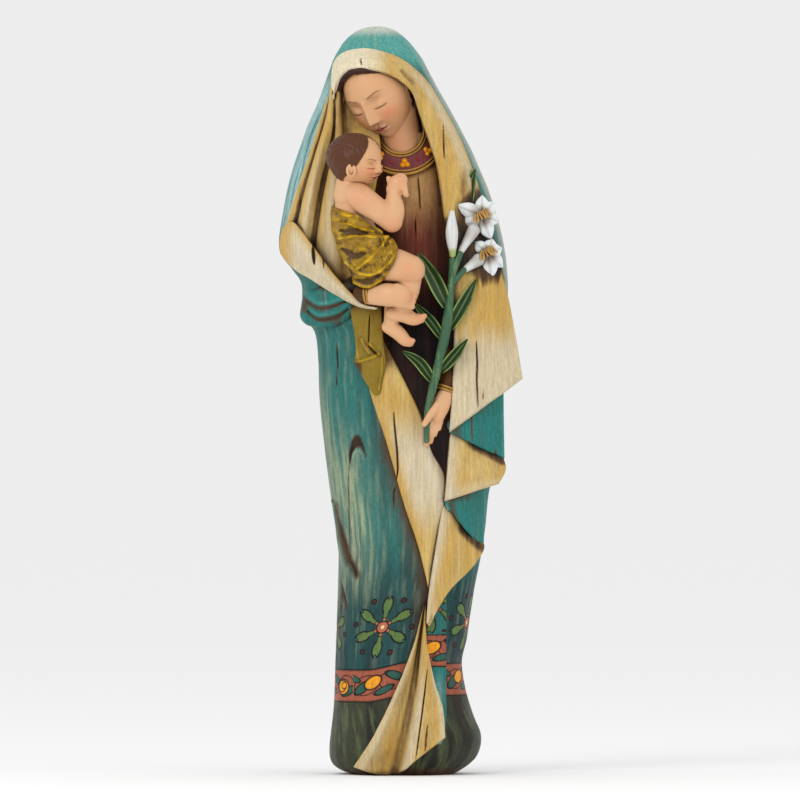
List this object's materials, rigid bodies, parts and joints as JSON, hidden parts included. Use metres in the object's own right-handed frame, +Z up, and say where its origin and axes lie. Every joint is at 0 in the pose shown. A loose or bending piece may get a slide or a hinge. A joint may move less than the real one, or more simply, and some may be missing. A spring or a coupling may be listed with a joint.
{
  "type": "virgin and child statue",
  "caption": "Standing veiled mother holding a sleeping child and a spray of lilies, one painted resin casting with a carved wood look and a flat underside.",
  "frame": {"origin": "on the flat underside, below the middle of the body", "axes": "+Z up, -Y the way the statue faces, +X to the right as seen from the front"},
  "size_m": [0.121, 0.091, 0.37],
  "materials": {
    "painted_resin": "hand-painted cast resin: teal mantle with ochre lining, maroon dress, brown antiquing in the hollows, satin varnish"
  },
  "bodies": {
    "root": {"virgin_and_child_statue": "painted_resin"}
  },
  "joints": []
}
